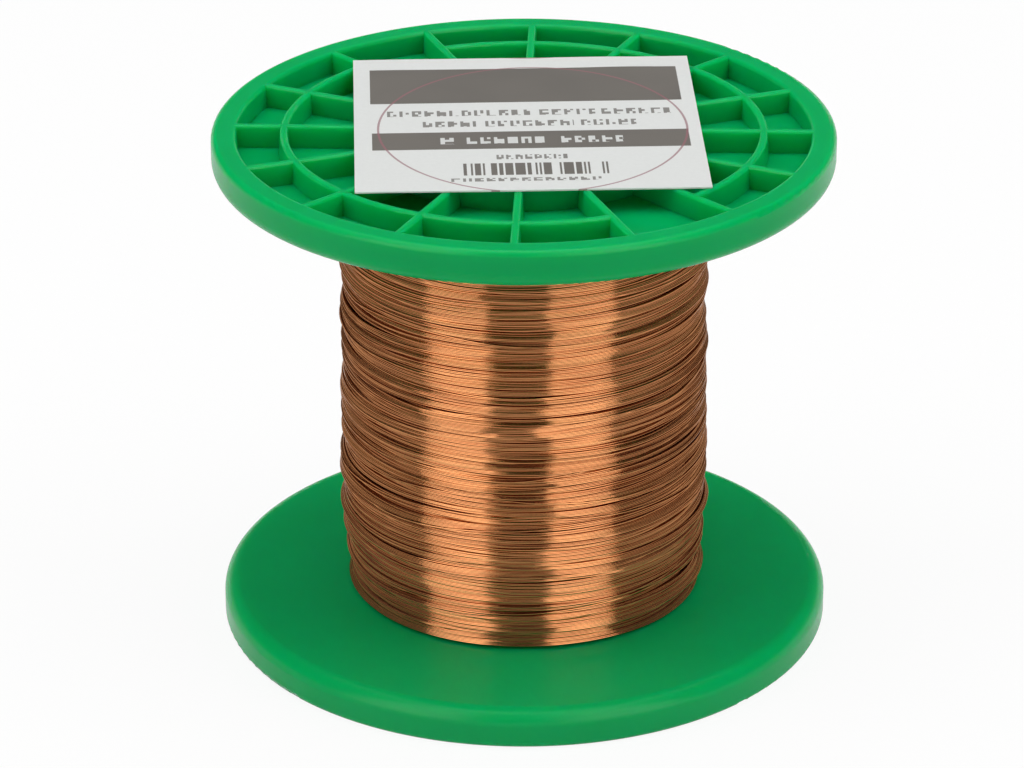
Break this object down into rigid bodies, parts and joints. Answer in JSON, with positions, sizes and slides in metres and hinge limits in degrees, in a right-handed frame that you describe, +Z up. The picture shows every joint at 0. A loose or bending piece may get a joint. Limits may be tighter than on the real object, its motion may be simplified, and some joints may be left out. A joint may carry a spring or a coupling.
{
  "type": "magnet wire spool",
  "caption": "Round plastic spool with ribbed flanges and a central bore, wound full of fine enamelled copper wire, with a paper label on its end.",
  "frame": {"origin": "centre of the lower rim face, on the axis of the bore", "axes": "+Z up along the axis of the bore to the labelled flange; +X to the right and +Y away along the label, whose print reads from -Y"},
  "size_m": [0.06, 0.06, 0.0514],
  "materials": {
    "green_plastic": "moulded, semi-gloss",
    "enamelled_copper": "copper wire under clear enamel",
    "label_paper": "coated white paper, printed"
  },
  "bodies": {
    "root": {"spool_body": "green_plastic", "wire_winding": "enamelled_copper", "paper_label": "label_paper"}
  },
  "joints": []
}
